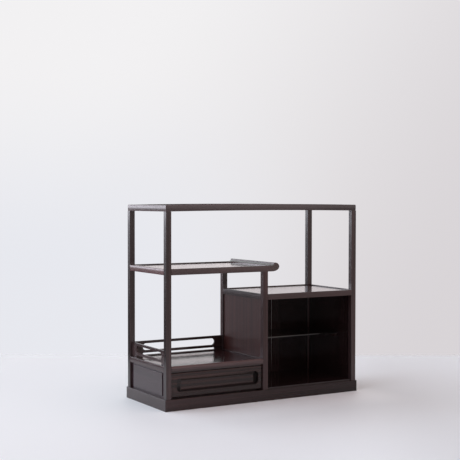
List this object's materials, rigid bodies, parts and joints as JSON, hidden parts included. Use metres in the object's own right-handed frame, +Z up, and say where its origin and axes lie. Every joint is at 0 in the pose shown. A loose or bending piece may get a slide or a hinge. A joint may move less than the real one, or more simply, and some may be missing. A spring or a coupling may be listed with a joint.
{
  "type": "staggered display shelf",
  "caption": "Rosewood tea display shelf with a staggered shelf, upturned shelf end, open cabinet, fenced deck and a low drawer with a carved pull.",
  "frame": {"origin": "middle of the plinth's underside, on the floor", "axes": "+X to the right along the long front, +Y to the back, +Z up; the front faces -Y"},
  "size_m": [0.91, 0.357, 0.7935],
  "materials": {
    "frame_wood": "dark rosewood, wiped lacquer, semi-gloss, fine straight grain",
    "plinth_wood": "dark rosewood, wiped lacquer, satin, fine straight grain",
    "board_wood": "dark rosewood boards, polished lacquer, glossy",
    "wall_wood": "dark reddish rosewood panels, polished lacquer",
    "drawer_front_wood": "dark olive-brown rosewood, wiped lacquer, satin",
    "drawer_lining_wood": "bare paulownia, matt",
    "hidden_wood": "stained secondary wood, matt"
  },
  "bodies": {
    "carcase": {"brush_stop": "frame_wood", "cabinet_back": "wall_wood", "cabinet_floor": "board_wood", "cabinet_rail_back": "frame_wood", "cabinet_rail_front": "frame_wood", "cabinet_rail_left": "frame_wood", "cabinet_rail_right": "frame_wood", "cabinet_shelf": "board_wood", "cabinet_side": "wall_wood", "cabinet_top_batten": "hidden_wood", "cabinet_top_panel": "board_wood", "deck_panel": "board_wood", "deck_rail_back": "frame_wood", "deck_rail_front": "frame_wood", "deck_rail_left": "frame_wood", "deck_rail_right": "frame_wood", "drawer_bay_back": "wall_wood", "drawer_bay_end": "wall_wood", "drawer_bay_floor": "board_wood", "drawer_guides": "hidden_wood", "drawer_header": "hidden_wood", "drawer_kickers": "hidden_wood", "drawer_stops": "hidden_wood", "fence_back": "frame_wood", "fence_left": "frame_wood", "partition_lower": "wall_wood", "partition_upper": "wall_wood", "plinth_back": "plinth_wood", "plinth_bearer": "hidden_wood", "plinth_front": "plinth_wood", "plinth_left": "plinth_wood", "plinth_right": "plinth_wood", "post_back_left": "frame_wood", "post_back_middle": "frame_wood", "post_back_right": "frame_wood", "post_front_left": "frame_wood", "post_front_middle": "frame_wood", "post_front_right": "frame_wood", "shelf_batten": "hidden_wood", "shelf_ledgers": "hidden_wood", "shelf_panel": "board_wood", "shelf_rail_back": "frame_wood", "shelf_rail_front": "frame_wood", "shelf_rail_left": "frame_wood", "top_battens": "hidden_wood", "top_panel": "board_wood", "top_rail_back": "frame_wood", "top_rail_front": "frame_wood", "top_rail_left": "frame_wood", "top_rail_right": "frame_wood"},
    "drawer": {"drawer_front": "drawer_front_wood", "drawer_side_left": "drawer_lining_wood", "drawer_side_right": "drawer_lining_wood", "drawer_back": "drawer_lining_wood", "drawer_bottom": "drawer_lining_wood"}
  },
  "joints": [
    {"name": "drawer_slide", "type": "slide", "parent": "carcase", "child": "drawer", "axis": [0, -1, 0], "range_m": [0, 0.23]}
  ]
}
